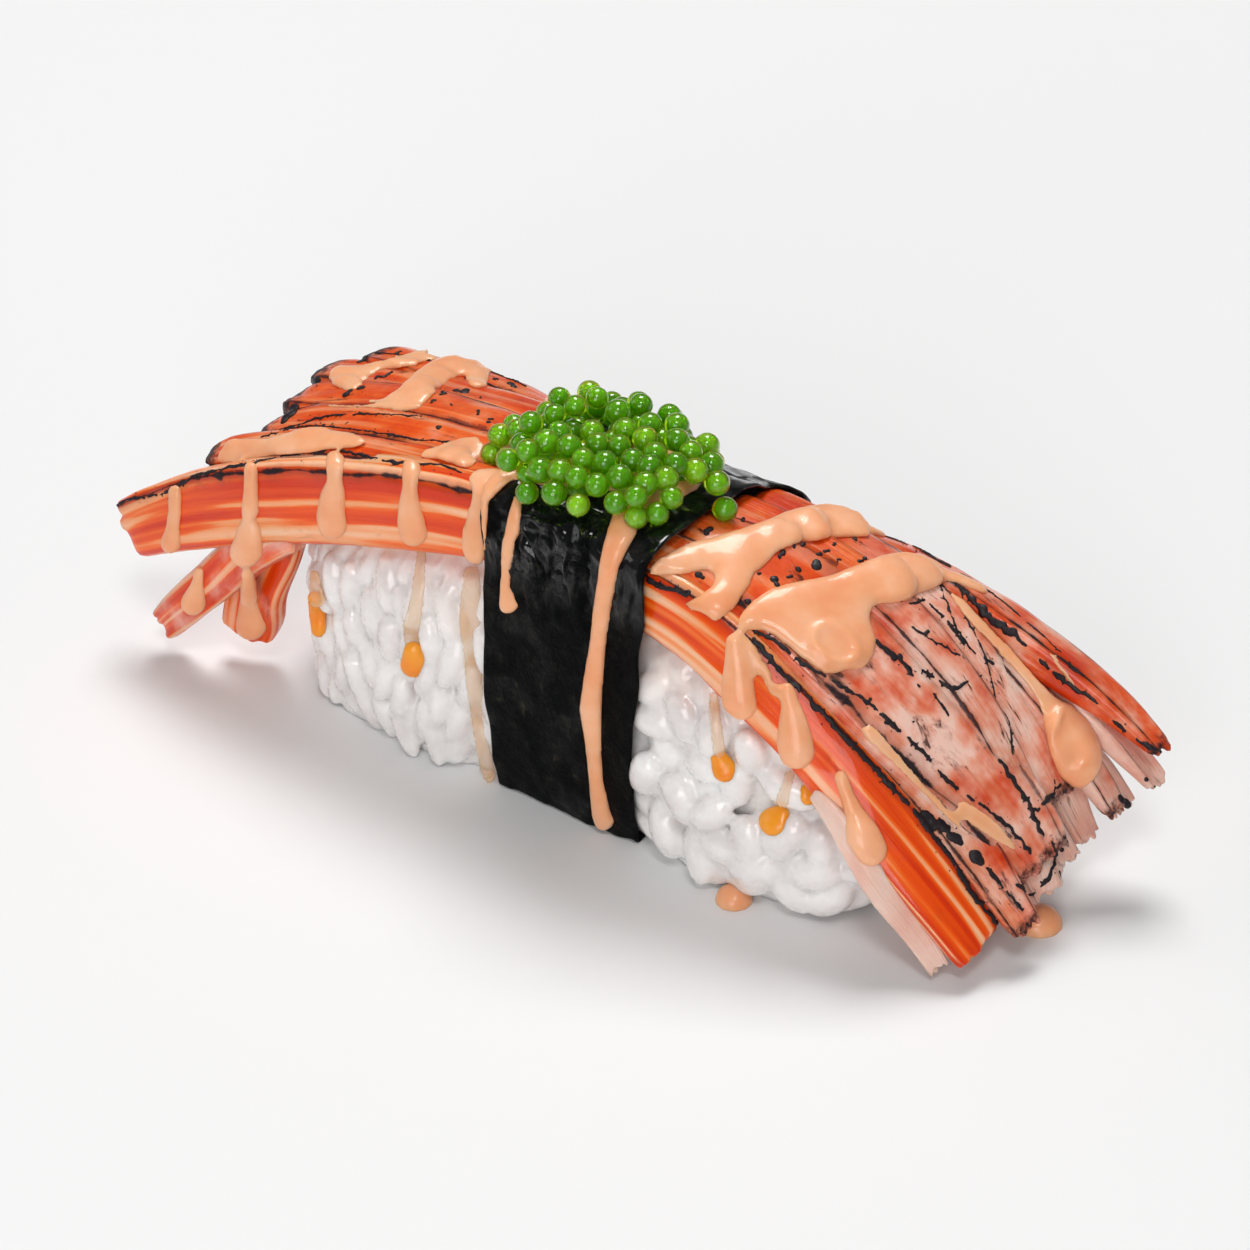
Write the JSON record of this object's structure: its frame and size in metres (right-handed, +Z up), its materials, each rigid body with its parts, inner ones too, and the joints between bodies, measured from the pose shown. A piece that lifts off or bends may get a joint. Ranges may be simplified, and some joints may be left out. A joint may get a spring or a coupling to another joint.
{
  "type": "crab stick nigiri",
  "caption": "Nigiri sushi: a pressed rice bed topped with torn, torched crab sticks, held by a nori band that carries a heap of green roe, and drizzled with sauce.",
  "frame": {"origin": "on the surface it rests on, under the middle of the nori band", "axes": "+X along the sushi, towards the end where the crab hangs to the surface; -Y is the long side that faces the camera; +Z up"},
  "size_m": [0.0988, 0.0291, 0.0366],
  "materials": {
    "crab": "moist orange-red crab stick with pale stripes, torched black at the edges",
    "rice": "translucent white cooked rice, slightly moist",
    "nori": "dark green-black pressed seaweed, fibrous, with a damp sheen",
    "roe": "clear glossy green fish roe"
  },
  "bodies": {
    "root": {"crab_stick_front": "crab", "crab_stick_middle": "crab", "crab_stick_back": "crab", "rice_bed": "rice", "nori_band": "nori", "roe_heap": "roe"}
  },
  "joints": []
}
